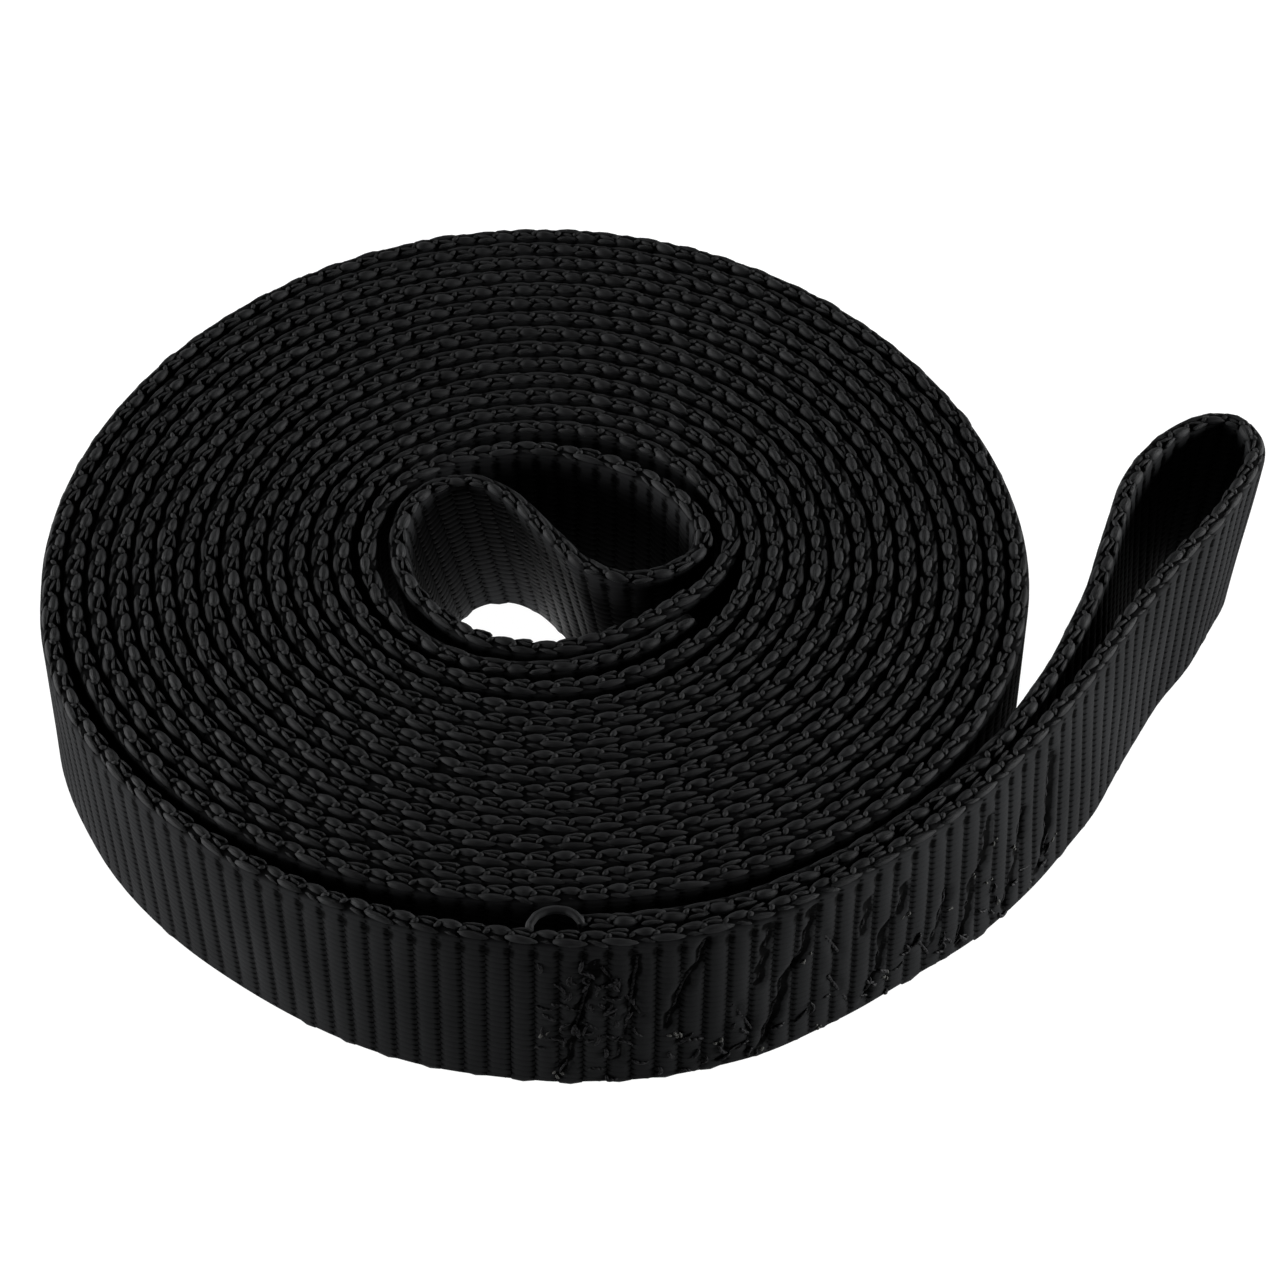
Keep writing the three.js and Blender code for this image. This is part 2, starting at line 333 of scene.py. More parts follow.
class StrapSettings(PropertyGroup):
    """Sizes and colours of the webbing."""

    width: FloatProperty(
        name="Webbing width", description="Width of the webbing, which is the roll's height",
        default=STRAP_HIGH.z - STRAP_LOW.z, min=0.01, max=0.1, unit="LENGTH",
    )
    thickness: FloatProperty(
        name="Webbing thickness", description="Thickness of the webbing over its ribs",
        default=2.3 * MM, min=0.0005, max=0.01, unit="LENGTH",
    )
    turn_gap: FloatProperty(
        name="Turn gap", description="Gap left between two turns of the roll",
        default=0.32 * MM, min=0.0, max=0.01, unit="LENGTH",
    )
    rib_pitch: FloatProperty(
        name="Rib pitch", description="Distance along the strap from one rib to the next",
        default=2.65 * MM, min=0.0005, max=0.01, unit="LENGTH",
    )
    rib_depth: FloatProperty(
        name="Rib depth", description="Depth of the groove between two ribs",
        default=0.30 * MM, min=0.0, max=0.002, unit="LENGTH",
    )
    yarn_pitch: FloatProperty(
        name="Yarn pitch", description="Distance from one lengthwise yarn to the next",
        default=0.92 * MM, min=0.0001, max=0.005, unit="LENGTH",
    )
    edge_rows: IntProperty(
        name="Face rows", description="Rows of faces across the width of a plain face",
        default=12, min=4, max=60, subtype="UNSIGNED",
    )
    colour: FloatVectorProperty(
        name="Webbing colour", description="Colour of the dyed yarn",
        default=(0.0066, 0.0068, 0.0071), size=3, min=0.0, max=1.0, subtype="COLOR",
    )
    worn_colour: FloatVectorProperty(
        name="Worn colour", description="Colour of chafed yarn and lint",
        default=(0.05, 0.05, 0.047), size=3, min=0.0, max=1.0, subtype="COLOR",
    )


class SeamSettings(PropertyGroup):
    """Size and colour of the seam's thread, and how it draws the webbing in."""

    thread: FloatProperty(
        name="Thread", description="Diameter of the sewing thread",
        default=0.42 * MM, min=0.0001, max=0.003, unit="LENGTH",
    )
    pucker: FloatProperty(
        name="Pucker", description="How deep the stitches draw the webbing in",
        default=0.7 * MM, min=0.0, max=0.002, unit="LENGTH",
    )
    colour: FloatVectorProperty(
        name="Thread colour", description="Colour of the sewing thread",
        default=(0.004, 0.004, 0.0045), size=3, min=0.0, max=1.0, subtype="COLOR",
    )


class StageSettings(PropertyGroup):
    """Floor and lights."""

    floor_size: FloatProperty(
        name="Floor size", description="Length of the floor's sides",
        default=6.0, min=0.5, max=50.0, unit="LENGTH",
    )
    side_light: FloatProperty(
        name="Side light", description="Power of the soft lights at the left and right, in watts",
        default=44.0, min=0.0, max=1000.0, unit="POWER",
    )
    top_light: FloatProperty(
        name="Top light", description="Power of the soft light overhead, in watts",
        default=3.0, min=0.0, max=1000.0, unit="POWER",
    )
    core_light: FloatProperty(
        name="Core light",
        description="Power of the light that rises through the roll's core, in watts",
        default=0.0016, min=0.0, max=10.0, unit="POWER",
    )
    floor_colour: FloatVectorProperty(
        name="Floor colour", description="Colour of the floor",
        default=(0.10, 0.10, 0.10), size=3, min=0.0, max=1.0, subtype="COLOR",
    )


class Route:
    """The strap's centre line: points close together, each with its distance along the strap."""

    def __init__(self, thickness, gap):
        self.pitch = pitch = thickness + gap
        inner = self.inner_end()
        steps_wound = range(int(TURNS * STEPS_PER_TURN) + 1)
        coil = [self.coil_point(step / STEPS_PER_TURN) for step in steps_wound]
        outer = self.outer_end()
        covered = range(len(LOOSE_TURN), OUTER_TAIL_CUT_STEP - 1, -1)
        tail = [self.beside(outer, index, pitch) for index in covered]
        controls = np.array([*inner, *coil, *outer, *tail])
        self.points, knots = self.smooth_line(controls)
        steps = np.linalg.norm(np.diff(self.points, axis=0), axis=1)
        self.along = np.concatenate([[0], np.cumsum(steps)])
        self.knots = self.along[knots]
        tangents = np.gradient(self.points, self.along, axis=0)
        tangents /= np.linalg.norm(tangents, axis=1)[:, None]
        self.sides = np.stack([-tangents[:, 1], tangents[:, 0]], 1)
        self.inner_count, self.coil_count = len(inner), len(coil)
        self.centre = self.footprint_centre(thickness / 2)
        inner_span = [self.knots[len(INNER_TAIL_LOOSENESS) + point] for point in INNER_LEAN_POINTS]
        self.leans = [(INNER_EYE_LEAN, inner_span)]
        for lean, points in OUTER_LEANS:
            self.leans.append((lean, [self.outer(len(LOOSE_TURN) + point) for point in points]))

    @property
    def length(self):
        """Distance along the strap at the outer tail's cut end."""
        return self.along[-1] - TAIL_TRIM

    def turn(self, turns):
        """Distance along the strap at a number of turns out from the start of the roll."""
        return self.knots[self.inner_count + int(round(turns * STEPS_PER_TURN))]

    def outer(self, index):
        """Distance along the strap at a point of the outer end."""
        return self.knots[self.inner_count + self.coil_count + index]

    def place(self, distance, side, height):
        """Points in the frame, from distances along the strap, sides and heights."""
        x, y = (np.interp(distance, self.along, self.points[:, axis]) for axis in (0, 1))
        u, v = (np.interp(distance, self.along, self.sides[:, axis]) for axis in (0, 1))
        x = x + u * side - self.centre[0]
        y = y + v * side - self.centre[1]
        place = np.stack(np.broadcast_arrays(x, y, height), -1)
        for lean, (start, full, fading, end) in self.leans:
            share = smooth(start, full, distance) * smooth(-end, -fading, -distance)
            share = share * (1 - height / bpy.context.scene.strap.width)
            place = place + share[..., None] * np.array(lean)
        return place

    def coil_point(self, turn):
        """A point of the wound turns, which are slacker at the back and slightly lobed."""
        angle = TAU * turn
        slack = BACK_SLACK * max(0, 1 - turn / BACK_SLACK_TURNS) * max(0, math.sin(angle)) ** 2
        pull = FIRST_TURN_PULL * bell((turn - PULL_TURN) / PULL_REACH)
        lobe = LOBE_DEPTH * (turn / TURNS) * math.sin(LOBES * angle)
        radius = CORE_RADIUS + self.pitch * turn - slack - pull - lobe
        return radius * np.array([math.cos(angle), math.sin(angle)])

    def loose_point(self, step):
        """A point of the last turn, which lies loose round the others."""
        angle = TAU * TURNS + math.radians(LOOSE_STEP_DEGREES * (step + 1))
        radius = CORE_RADIUS + self.pitch * angle / TAU + LOOSE_TURN[step]
        return radius * np.array([math.cos(angle), math.sin(angle)])

    def inner_end(self):
        """Points of the inner tail and the inner eye."""
        eye = [np.array(point) for point in INNER_ROUTE]
        start = len(eye) - 1 - POINTS_AFTER_INNER_TAIL
        offsets = enumerate(INNER_TAIL_LOOSENESS)
        tail = [self.beside(eye, start - step, -self.pitch - loose) for step, loose in offsets]
        return [*tail, *eye[:-1]]

    def outer_end(self):
        """Points of the loose turn and the outer eye."""
        loose = [self.loose_point(step) for step in range(len(LOOSE_TURN))]
        return [*loose, *(loose[-1] + np.array(point) for point in OUTER_EYE)]

    @staticmethod
    def beside(points, index, distance):
        """A point beside the route, on the left of its direction of travel."""
        along = points[min(index + 1, len(points) - 1)] - points[max(index - 1, 0)]
        along = along / np.linalg.norm(along)
        return points[index] + distance * np.array([-along[1], along[0]])

    @staticmethod
    def smooth_line(controls):
        """Centripetal spline through the controls, and the index of each control in it."""
        ends = [2 * controls[0] - controls[1], 2 * controls[-1] - controls[-2]]
        padded = np.vstack([ends[0], controls, ends[1]])
        spans = np.sqrt(np.linalg.norm(np.diff(padded, axis=0), axis=1))
        points, knots = [], [0]
        for index in range(len(controls) - 1):
            p0, p1, p2, p3 = padded[index:index + 4]
            d0, d1, d2 = spans[index:index + 3]
            t1 = ((p1 - p0) / d0 - (p2 - p0) / (d0 + d1) + (p2 - p1) / d1) * d1
            t2 = ((p2 - p1) / d1 - (p3 - p1) / (d1 + d2) + (p3 - p2) / d2) * d1
            count = max(1, int(np.linalg.norm(p2 - p1) / ROUTE_STEP))
            t = (np.arange(count) / count)[:, None]
            square = (3 * (p2 - p1) - 2 * t1 - t2) * t**2
            cube = (2 * (p1 - p2) + t1 + t2) * t**3
            points.append(p1 + t1 * t + square + cube)
            knots.append(knots[-1] + count)
        points.append(controls[-1:])
        return np.vstack(points), np.array(knots)

    def footprint_centre(self, half):
        """Middle of the strap's footprint in the roll's plan, where the frame has its origin."""
        faces = np.vstack([self.points + half * self.sides, self.points - half * self.sides])
        return (faces.min(axis=0) + faces.max(axis=0)) / 2


def strap_route():
    """The route at the strap's present settings."""
    strap = bpy.context.scene.strap
    return Route(strap.thickness, strap.turn_gap)


class Wire:
    """A socket that gives a number. Arithmetic on it adds Math nodes to its finish."""

    def __init__(self, finish, socket):
        self.finish = finish
        self.socket = socket

    def __add__(self, other):
        return self.finish.maths("ADD", self, other)

    def __sub__(self, other):
        return self.finish.maths("SUBTRACT", self, other)

    def __rsub__(self, other):
        return self.finish.maths("SUBTRACT", other, self)

    def __mul__(self, other):
        return self.finish.maths("MULTIPLY", self, other)

    def __truediv__(self, other):
        return self.finish.maths("DIVIDE", self, other)

    def __rtruediv__(self, other):
        return self.finish.maths("DIVIDE", other, self)

    __radd__ = __add__
    __rmul__ = __mul__


class Finish:
    """A material under construction."""

    def __init__(self, name):
        self.material = bpy.data.materials.new(name)
        self.material.use_nodes = True
        self.tree = self.material.node_tree
        self.tree.nodes.clear()

    def node(self, kind, settings, sockets, output=0):
        """Adds a node, sets its settings and sockets, and gives the named output as a wire."""
        made = self.tree.nodes.new(kind)
        for name, value in settings.items():
            setattr(made, name, value)
        for name, value in sockets.items():
            if isinstance(value, Wire):
                self.tree.links.new(value.socket, made.inputs[name])
            else:
                made.inputs[name].default_value = value
        return Wire(self, made.outputs[output]) if made.outputs else None

    def maths(self, operation, *values):
        return self.node("ShaderNodeMath", {"operation": operation}, dict(enumerate(values)))

    def step(self, low, high, value):
        """0 below low, 1 above high, and smooth between."""
        sockets = {"Value": value, "From Min": low, "From Max": high}
        return self.node("ShaderNodeMapRange", {"interpolation_type": "SMOOTHSTEP"}, sockets)

    def ridge(self, value):
        """0 in the middle of each whole step of value, 1 where two steps meet."""
        return self.maths("ABSOLUTE", self.maths("FRACT", value) - 0.5) * 2

    def attribute(self, name):
        """The three numbers of a mesh attribute."""
        stored = self.node("ShaderNodeAttribute", {"attribute_name": name}, {}, "Vector")
        sockets = {"Vector": stored}
        return [self.node("ShaderNodeSeparateXYZ", {}, sockets, axis) for axis in ("X", "Y", "Z")]

    def vector(self, x, y, z):
        return self.node("ShaderNodeCombineXYZ", {}, {"X": x, "Y": y, "Z": z})

    def noise(self, place, scale=1.0, detail=2.0, roughness=0.5):
        sockets = {"Vector": place, "Scale": scale, "Detail": detail, "Roughness": roughness}
        return self.node("ShaderNodeTexNoise", {}, sockets, "Fac")

    def grain(self, along, across, scales, *detail):
        """Noise with its own scale along the strap and across it, and its own offset."""
        place = self.vector(along * scales[0], across * scales[1], scales[2])
        return self.noise(place, 1.0, *detail)

    def mix(self, factor, first, second):
        """Blend of two colours."""
        colours = [(*c, 1.0) if isinstance(c, (tuple, list)) else c for c in (first, second)]
        sockets = {0: factor, 6: colours[0], 7: colours[1]}
        return self.node("ShaderNodeMix", {"data_type": "RGBA"}, sockets, 2)

    def surface(self, colour, grain, height, roughness, grain_roughness, depth, specular):
        """Ends the material in a shader whose relief is height times depth."""
        relief = {"Height": height, "Distance": depth, "Strength": 1.0}
        sockets = {
            "Base Color": colour,
            "Roughness": roughness + grain * grain_roughness,
            "Normal": self.node("ShaderNodeBump", {}, relief),
            "Specular IOR Level": specular,
        }
        shader = self.node("ShaderNodeBsdfPrincipled", {}, sockets)
        self.node("ShaderNodeOutputMaterial", {}, {"Surface": shader})
        return self.material


def webbing_finish():
    """Ribbed faces of the webbing: slanted lengthwise yarns that dip between the ribs, with painted
    shade in the grooves, between the yarns, in the groove tops below the upper rim, at both rims and in
    the stitch grooves, and chafed wear.
    """
    strap = bpy.context.scene.strap
    f = Finish("black_webbing")
    along, height, wear_and_groove_shade = f.attribute("weave")
    ribs = along / strap.rib_pitch
    groove = f.step(*GROOVE_MARK, f.ridge(ribs))
    yarns = height / strap.yarn_pitch + f.maths("FRACT", ribs) * YARN_SLANT
    between = f.ridge(yarns)
    gap = f.step(*YARN_GAP_MARK, between)
    filaments = f.grain(along, height, FILAMENT_GRAIN)
    blotches = f.grain(along, height, BLOTCH_GRAIN)
    dip = groove * gap
    # Painted shade in the rib grooves just below the upper rim, where the rolled edge would shadow them
    below_rim = f.step(*GROOVE_TOP_SHADE_RISE, height) * (1 - f.step(*GROOVE_TOP_SHADE_FALL, height))
    groove_top_shade = below_rim * f.step(*GROOVE_TOP_SHADE_MARK, f.ridge(ribs)) * GROOVE_TOP_SHADE_AMOUNT
    # Painted shade at both rims, where the selvedge loops would shadow the body of the webbing
    rim_shade = f.step(*RIM_SHADE, f.maths("ABSOLUTE", height - strap.width / 2) - strap.width / 2)
    # Painted shade, summed: darker in the grooves, between the yarns, in the groove tops below the upper
    # rim and at both rims
    painted_shade = dip * DIP_SHADE + groove * GROOVE_SHADE + gap * YARN_GAP_SHADE + rim_shade * RIM_SHADE_AMOUNT + groove_top_shade
    # Painted shade in the stitch grooves, carried as negative values of the third number
    painted_shade = f.maths("MINIMUM", painted_shade + f.step(*STITCH_GROOVE_SHADE_MARK, 0 - wear_and_groove_shade), 1.0)
    # The colour is mixed towards a dark copy of itself wherever painted shade falls
    colour = f.mix(painted_shade, tuple(strap.colour), tint(strap.colour, PAINTED_SHADE_TONE))
    blotch = f.step(*BLOTCH_MARK, blotches) * (1 - painted_shade) * BLOTCH_SHARE
    colour = f.mix(blotch, colour, tint(strap.colour, BLOTCH_TONE))
    specks = f.grain(along, height, SPECK_GRAIN, *SPECK_DETAIL) + (wear_and_groove_shade - 1.0) * WEAR_SPREAD
    worn = f.step(*SPECK_MARK, specks) * f.step(*WEAR_MARK, wear_and_groove_shade) * WORN_SHARE
    colour = f.mix(worn * WORN_TONE, colour, tuple(strap.worn_colour))
    relief = (1 - between * between) * YARN_RELIEF - dip * DIP_RELIEF
    relief = relief + filaments * FILAMENT_RELIEF + worn * WORN_RELIEF
    return f.surface(colour, filaments, relief, *WEBBING_SURFACE)


def selvedge_finish():
    """The chain of yarn loops along the webbing's edges."""
    strap = bpy.context.scene.strap
    f = Finish("black_selvedge")
    along, round_yarn, which = f.attribute("weave")
    offset = which * LOOP_OFFSET
    filaments = f.grain(along, round_yarn, (*LOOP_GRAIN, offset))
    patches = f.step(*LOOP_PATCH_MARK, f.noise(f.vector(along, round_yarn, offset)))
    colour = f.mix(which, *(tint(strap.colour, tone) for tone in LOOP_TONES))
    colour = f.mix(patches * LOOP_PATCH_SHARE, colour, tint(strap.colour, LOOP_PATCH_TONE))
    return f.surface(colour, filaments, filaments, *SELVEDGE_SURFACE)


def thread_finish():
    """Twisted sewing thread, with painted shade between its plies."""
    seam = bpy.context.scene.seam
    f = Finish("black_thread")
    along, round_thread, which = f.attribute("weave")
    ply = f.ridge(along / THREAD_TWIST + round_thread / TAU)
    fuzz = f.grain(along, round_thread, (*THREAD_GRAIN, which))
    # Painted shade: the colour is darker where the plies meet
    colour = f.mix(ply * PLY_SHADE_SHARE, tuple(seam.colour), tint(seam.colour, PLY_SHADE_TONE))
    colour = f.mix(f.step(*FUZZ_MARK, fuzz) * FUZZ_SHARE, colour, tint(seam.colour, FUZZ_TONE))
    return f.surface(colour, fuzz, 1 - ply * ply, *THREAD_SURFACE)


def lint_finish():
    """Pale chafed fibre ends."""
    strap = bpy.context.scene.strap
    f = Finish("pale_lint")
    along, round_fibre, which = f.attribute("weave")
    fuzz = f.noise(f.vector(along * LINT_GRAIN, round_fibre, which * LINT_OFFSET))
    colour = f.mix(fuzz, *(tint(strap.worn_colour, tone) for tone in LINT_TONES))
    return f.surface(colour, fuzz, fuzz, *LINT_SURFACE)


def floor_finish():
    """A pale floor that glows, so that it shows white all over."""
    stage = bpy.context.scene.stage
    f = Finish("pale_floor")
    place = f.node("ShaderNodeTexCoord", {}, {}, "Object")
    grain = f.noise(place, FLOOR_GRAIN_SCALE)
    pale = tuple(stage.floor_colour)
    shader = f.node("ShaderNodeBsdfPrincipled", {}, {
        "Base Color": f.mix(grain * FLOOR_GRAIN_SHARE, pale, tint(pale, FLOOR_TONE)),
        "Roughness": FLOOR_ROUGHNESS + grain * FLOOR_GRAIN_ROUGHNESS,
        "Specular IOR Level": FLOOR_SPECULAR,
        "Emission Color": (1.0, 1.0, 1.0, 1.0),
        "Emission Strength": FLOOR_GLOW,
    })
    f.node("ShaderNodeOutputMaterial", {}, {"Surface": shader})
    return f.material


def add_piece(name, vertices, faces, weave, finish, slot):
    """A mesh that rides on the strap, smooth but for its many-sided end faces.
    weave holds three numbers for each vertex."""
    mesh = bpy.data.meshes.new(name)
    mesh.from_pydata(np.asarray(vertices, float).tolist(), [], faces)
    mesh.polygons.foreach_set("use_smooth", [len(face) <= 4 for face in faces])
    attribute = mesh.attributes.new("weave", "FLOAT_VECTOR", "POINT")
    attribute.data.foreach_set("vector", np.asarray(weave, np.float32).ravel())
    mesh.materials.append(finish)
    piece = bpy.data.objects.new(name, mesh)
    bpy.context.scene.collection.objects.link(piece)
    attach(piece, "root")
    return piece


def band_faces(sections, size):
    """Quads between closed sections of a given number of points, and an end face at each end."""
    first = np.arange(sections - 1)[:, None] * size
    here = np.arange(size)[None]
    beyond = (here + 1) % size
    quads = np.stack([first + here, first + size + here, first + size + beyond, first + beyond], -1)
    last = (sections - 1) * size
    ends = [list(range(size)), list(range(last + size - 1, last - 1, -1))]
    return [*quads.reshape(-1, 4).tolist(), *ends]


def pucker(route, distance, height):
    """How far the seam draws the webbing in, at places on its outer face."""
    seam = bpy.context.scene.seam
    cut = route.outer(OUTER_TAIL_CUT_STEP)
    drawn = np.zeros(np.broadcast(distance, height).shape)
    for depth, line in SEAM_GROOVES:
        heights, distances = np.array(line).T * MM
        off = distance - cut - np.interp(height, heights, distances)
        off = off + GROOVE_WANDER * np.sin(height / GROOVE_WANDER_STEP + distances[0] / MM)
        low, high = heights[0], heights[-1]
        inside = smooth(low - GROOVE_END, low, height) * smooth(-high - GROOVE_END, -high, -height)
        drawn = np.maximum(drawn, depth * inside * np.exp(-(off / STITCH_GROOVE) ** 2))
    along = smooth(-SEAM_INSET, 0, distance - cut)
    short, tall, long = BILLOW_LENGTHS
    billow = np.sin(distance / short) * np.sin(height / tall + distance / long)
    return along * (seam.pucker * drawn + BILLOW * billow)


def strap_section(rows):
    """One closed section of the strap: which face each point lies on, and its height there.
    -1 is the right face, +1 the left face, and between them are the rounded edges."""
    width = bpy.context.scene.strap.width
    low, high = EDGE_ROUND, width - EDGE_ROUND
    face = np.linspace(low, high, rows + 1)
    bend = np.radians(EDGE_BEND)
    over = high + (EDGE_ROUND - SELVEDGE_SINK) * np.sin(bend)
    side = -np.cos(bend)
    sides = np.concatenate([-np.ones(rows + 1), side, np.ones(rows + 1), -side])
    heights = np.concatenate([face, over, face[::-1], width - over])
    return sides, heights


def strap_stations(start, end, ribbed):
    """Distances at which the strap gets a section, closer together where its ribs show."""
    pitch = bpy.context.scene.strap.rib_pitch
    if not ribbed:
        return np.linspace(start, end, max(2, int((end - start) / PLAIN_STEP)))
    first, last = int(start / pitch), int(end / pitch) + 1
    grid = (np.arange(first, last)[:, None] + np.array(RIB_PROFILE)) * pitch
    grid = grid.ravel()
    between = (grid > start + STATION_CLEARANCE) & (grid < end - STATION_CLEARANCE)
    return np.concatenate([[start], grid[between], [end]])


def strap_stretch(route, name, start, end, rows, ribbed=True, sewn=False):
    """A closed stretch of webbing between two distances along the strap."""
    strap = bpy.context.scene.strap
    stations = strap_stations(start, end, ribbed)
    sides, heights = strap_section(rows)
    along = np.repeat(stations[:, None], len(sides), 1)
    height = np.repeat(heights[None], len(stations), 0)
    across = (np.mod(along / strap.rib_pitch, 1) - 0.5) * 2
    groove = 1 - np.sqrt(1 - RIB_ROUNDNESS * across**2)
    fade = smooth(*RIB_FADE, height) * smooth(*RIB_FADE, strap.width - height)
    depth = strap.rib_depth * groove * fade if ribbed else np.zeros_like(along)
    wear_and_groove_shade = np.zeros_like(along)
    if sewn:
        outside = sides[None] < 0
        drawn = pucker(route, along, height)
        sewn_share = smooth(start, start + SEWN_RIBS_START, along)
        depth = (1 + SEWN_RIBS * sewn_share) * depth + np.where(outside, drawn, INSIDE_PUCKER * drawn)
        seam_end = route.outer(len(LOOSE_TURN))
        near = smooth(start, start + WEAR_START, along) * smooth(-seam_end - WEAR_END, -seam_end, -along)
        low = smooth(-WEAR_HEIGHT, 0, -height)
        wear_and_groove_shade = np.where(outside, near * (WEAR_LEAST + (1 - WEAR_LEAST) * low), 0)
        # Inside the stitch grooves the third number holds painted shade as a negative value, in place of
        # wear
        in_groove = outside & (drawn > GROOVE_SHOWS)
        wear_and_groove_shade = np.where(in_groove, -(drawn - GROOVE_SHOWS) / GROOVE_SHADE_DEPTH, wear_and_groove_shade)
    side = sides[None] * (strap.thickness / 2 - depth)
    places = route.place(along, side, height)
    weave = np.stack([along, height, wear_and_groove_shade], -1)
    faces = band_faces(len(stations), len(sides))
    places, weave = places.reshape(-1, 3), weave.reshape(-1, 3)
    piece = add_piece(name, places, faces, weave, FINISHES["webbing"], "webbing")
    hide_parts("webbing_strap")
    return piece, end - start


def egg(rings, spokes):
    """Points and faces of a ball of radius 1 whose poles lie along x, with each point's angle."""
    polar = np.linspace(0, math.pi, rings + 2)[1:-1]
    turn = np.arange(spokes) * TAU / spokes
    axis, reach = np.cos(polar)[:, None], np.sin(polar)[:, None]
    ring = np.broadcast_arrays(axis, reach * np.cos(turn), reach * np.sin(turn))
    ring = np.stack(ring, -1).reshape(-1, 3)
    points = np.vstack([ring, [[1, 0, 0], [-1, 0, 0]]])
    angles = np.concatenate([np.tile(turn, rings), [0, 0]])
    faces = []
    for row in range(rings - 1):
        for spoke in range(spokes):
            a, b = row * spokes + spoke, row * spokes + (spoke + 1) % spokes
            faces.append([a, a + spokes, b + spokes, b])
    front, back = rings * spokes, rings * spokes + 1
    last = (rings - 1) * spokes
    for spoke in range(spokes):
        beyond = (spoke + 1) % spokes
        faces.append([front, spoke, beyond])
        faces.append([back, last + beyond, last + spoke])
    return points, faces, angles


def chain_yarns(route, loops, repeats, rng, upward):
    """The yarns of one edge. Each loop is a stretched ball that follows the strap's bend.
    upward is 1 for the upper edge and -1 for the lower one."""
    strap = bpy.context.scene.strap
    repeat = SELVEDGE_REPEAT_RIBS * strap.rib_pitch
    all_points, all_faces, all_weave, count = [], [], [], 0
    for place, side, top, size, yaw, (rings, spokes) in loops:
        points, faces, angles = egg(rings, spokes)
        number = len(repeats)
        half = rng.normal(1, LOOP_SIZE_SPREAD, (number, 3)).clip(*LOOP_SIZE_LIMITS)
        half = np.array(size) * MM / 2 * half
        taper = 1 + TEARDROP * points[None, :, 0:1] * np.sign(side + 0.01)
        local = points[None] * half[:, None] * np.concatenate([taper * 0 + 1, taper, taper], -1)
        turned = math.radians(yaw) + rng.normal(0, LOOP_TURN_SPREAD, number)[:, None]
        x = local[..., 0] * np.cos(turned) - local[..., 1] * np.sin(turned)
        y = local[..., 0] * np.sin(turned) + local[..., 1] * np.cos(turned)
        moved = [rng.normal(0, spread, (number, 1)) for spread in LOOP_PLACE_SPREAD]
        start = (repeats[:, None] + place) * repeat + moved[0]
        across = side * MM + y + moved[1]
        level = top * MM - half[:, 2:3] + moved[2]
        height = strap.width - SELVEDGE_HEADROOM + level + local[..., 2]
        height = height if upward > 0 else strap.width - height
        along = np.clip(start + x, 0, route.length)
        all_points.append(route.place(along, across, height).reshape(-1, 3))
        which = rng.uniform(0, 1, (number, 1))
        weave = np.stack(np.broadcast_arrays(points[None, :, 0], angles[None], which), -1)
        all_weave.append(weave.reshape(-1, 3))
        outward = [face if upward > 0 else face[::-1] for face in faces]
        for index in range(number):
            base = count + index * len(points)
            all_faces.extend([[base + corner for corner in face] for face in outward])
        count += number * len(points)
    return np.vstack(all_points), all_faces, np.vstack(all_weave)


def tube(path, radius, spokes):
    """A closed tube along a path of points, with each vertex's distance and angle.
    radius is one number or one for each point."""
    path = np.asarray(path, float)
    tangents = np.gradient(path, axis=0)
    tangents /= np.linalg.norm(tangents, axis=1)[:, None]
    up = np.array([0.0, 0.0, 1.0])
    across = np.cross(tangents, up)
    weak = np.linalg.norm(across, axis=1) < 0.05
    across[weak] = np.cross(tangents[weak], [1.0, 0.0, 0.0])
    across /= np.linalg.norm(across, axis=1)[:, None]
    for index in range(1, len(across)):
        if across[index] @ across[index - 1] < 0:
            across[index] *= -1
    other = np.cross(across, tangents)
    turn = np.arange(spokes) * TAU / spokes
    radius = np.broadcast_to(np.asarray(radius, float), len(path))[:, None, None]
    cosine, sine = np.cos(turn)[None, :, None], np.sin(turn)[None, :, None]
    ring = cosine * across[:, None] + sine * other[:, None]
    points = path[:, None] + radius * ring
    steps = np.concatenate([[0], np.cumsum(np.linalg.norm(np.diff(path, axis=0), axis=1))])
    weave = np.stack(np.broadcast_arrays(steps[:, None], turn[None], 0.0), -1)
    return points.reshape(-1, 3), band_faces(len(path), spokes), weave.reshape(-1, 3)


def join_tubes(tubes):
    """Several tubes as one mesh."""
    points, faces, weave, count = [], [], [], 0
    for number, (tube_points, tube_faces, tube_weave) in enumerate(tubes):
        points.append(tube_points)
        faces.extend([[count + corner for corner in face] for face in tube_faces])
        tube_weave = tube_weave.copy()
        tube_weave[:, 2] = number * YARN_TONE_STEP % 1
        weave.append(tube_weave)
        count += len(tube_points)
    return np.vstack(points), faces, np.vstack(weave)


class STRAP_OT_webbing(Operator):
    """Builds the webbing of the roll and of both eyes"""

    bl_idname = "strap.webbing"
    bl_label = "Webbing"

    def execute(self, context):
        route = strap_route()
        hidden = route.turn(TURNS - TURNS_SEEN_OUTSIDE)
        pitch = context.scene.strap.rib_pitch
        outer_end = round((route.outer(OUTER_TAIL_CUT_STEP) - SEWN_LEAD) / pitch) * pitch
        rows = context.scene.strap.edge_rows
        stretches = [
            strap_stretch(route, "inner_eye_webbing", 0, route.turn(1), rows),
            strap_stretch(route, "wound_webbing", route.turn(1), hidden, WOUND_ROWS, ribbed=False),
            strap_stretch(route, "outer_turn_webbing", hidden, outer_end, rows),
            strap_stretch(route, "outer_eye_webbing", outer_end, route.length, SEWN_ROWS, sewn=True),
        ]
        return {"FINISHED"}


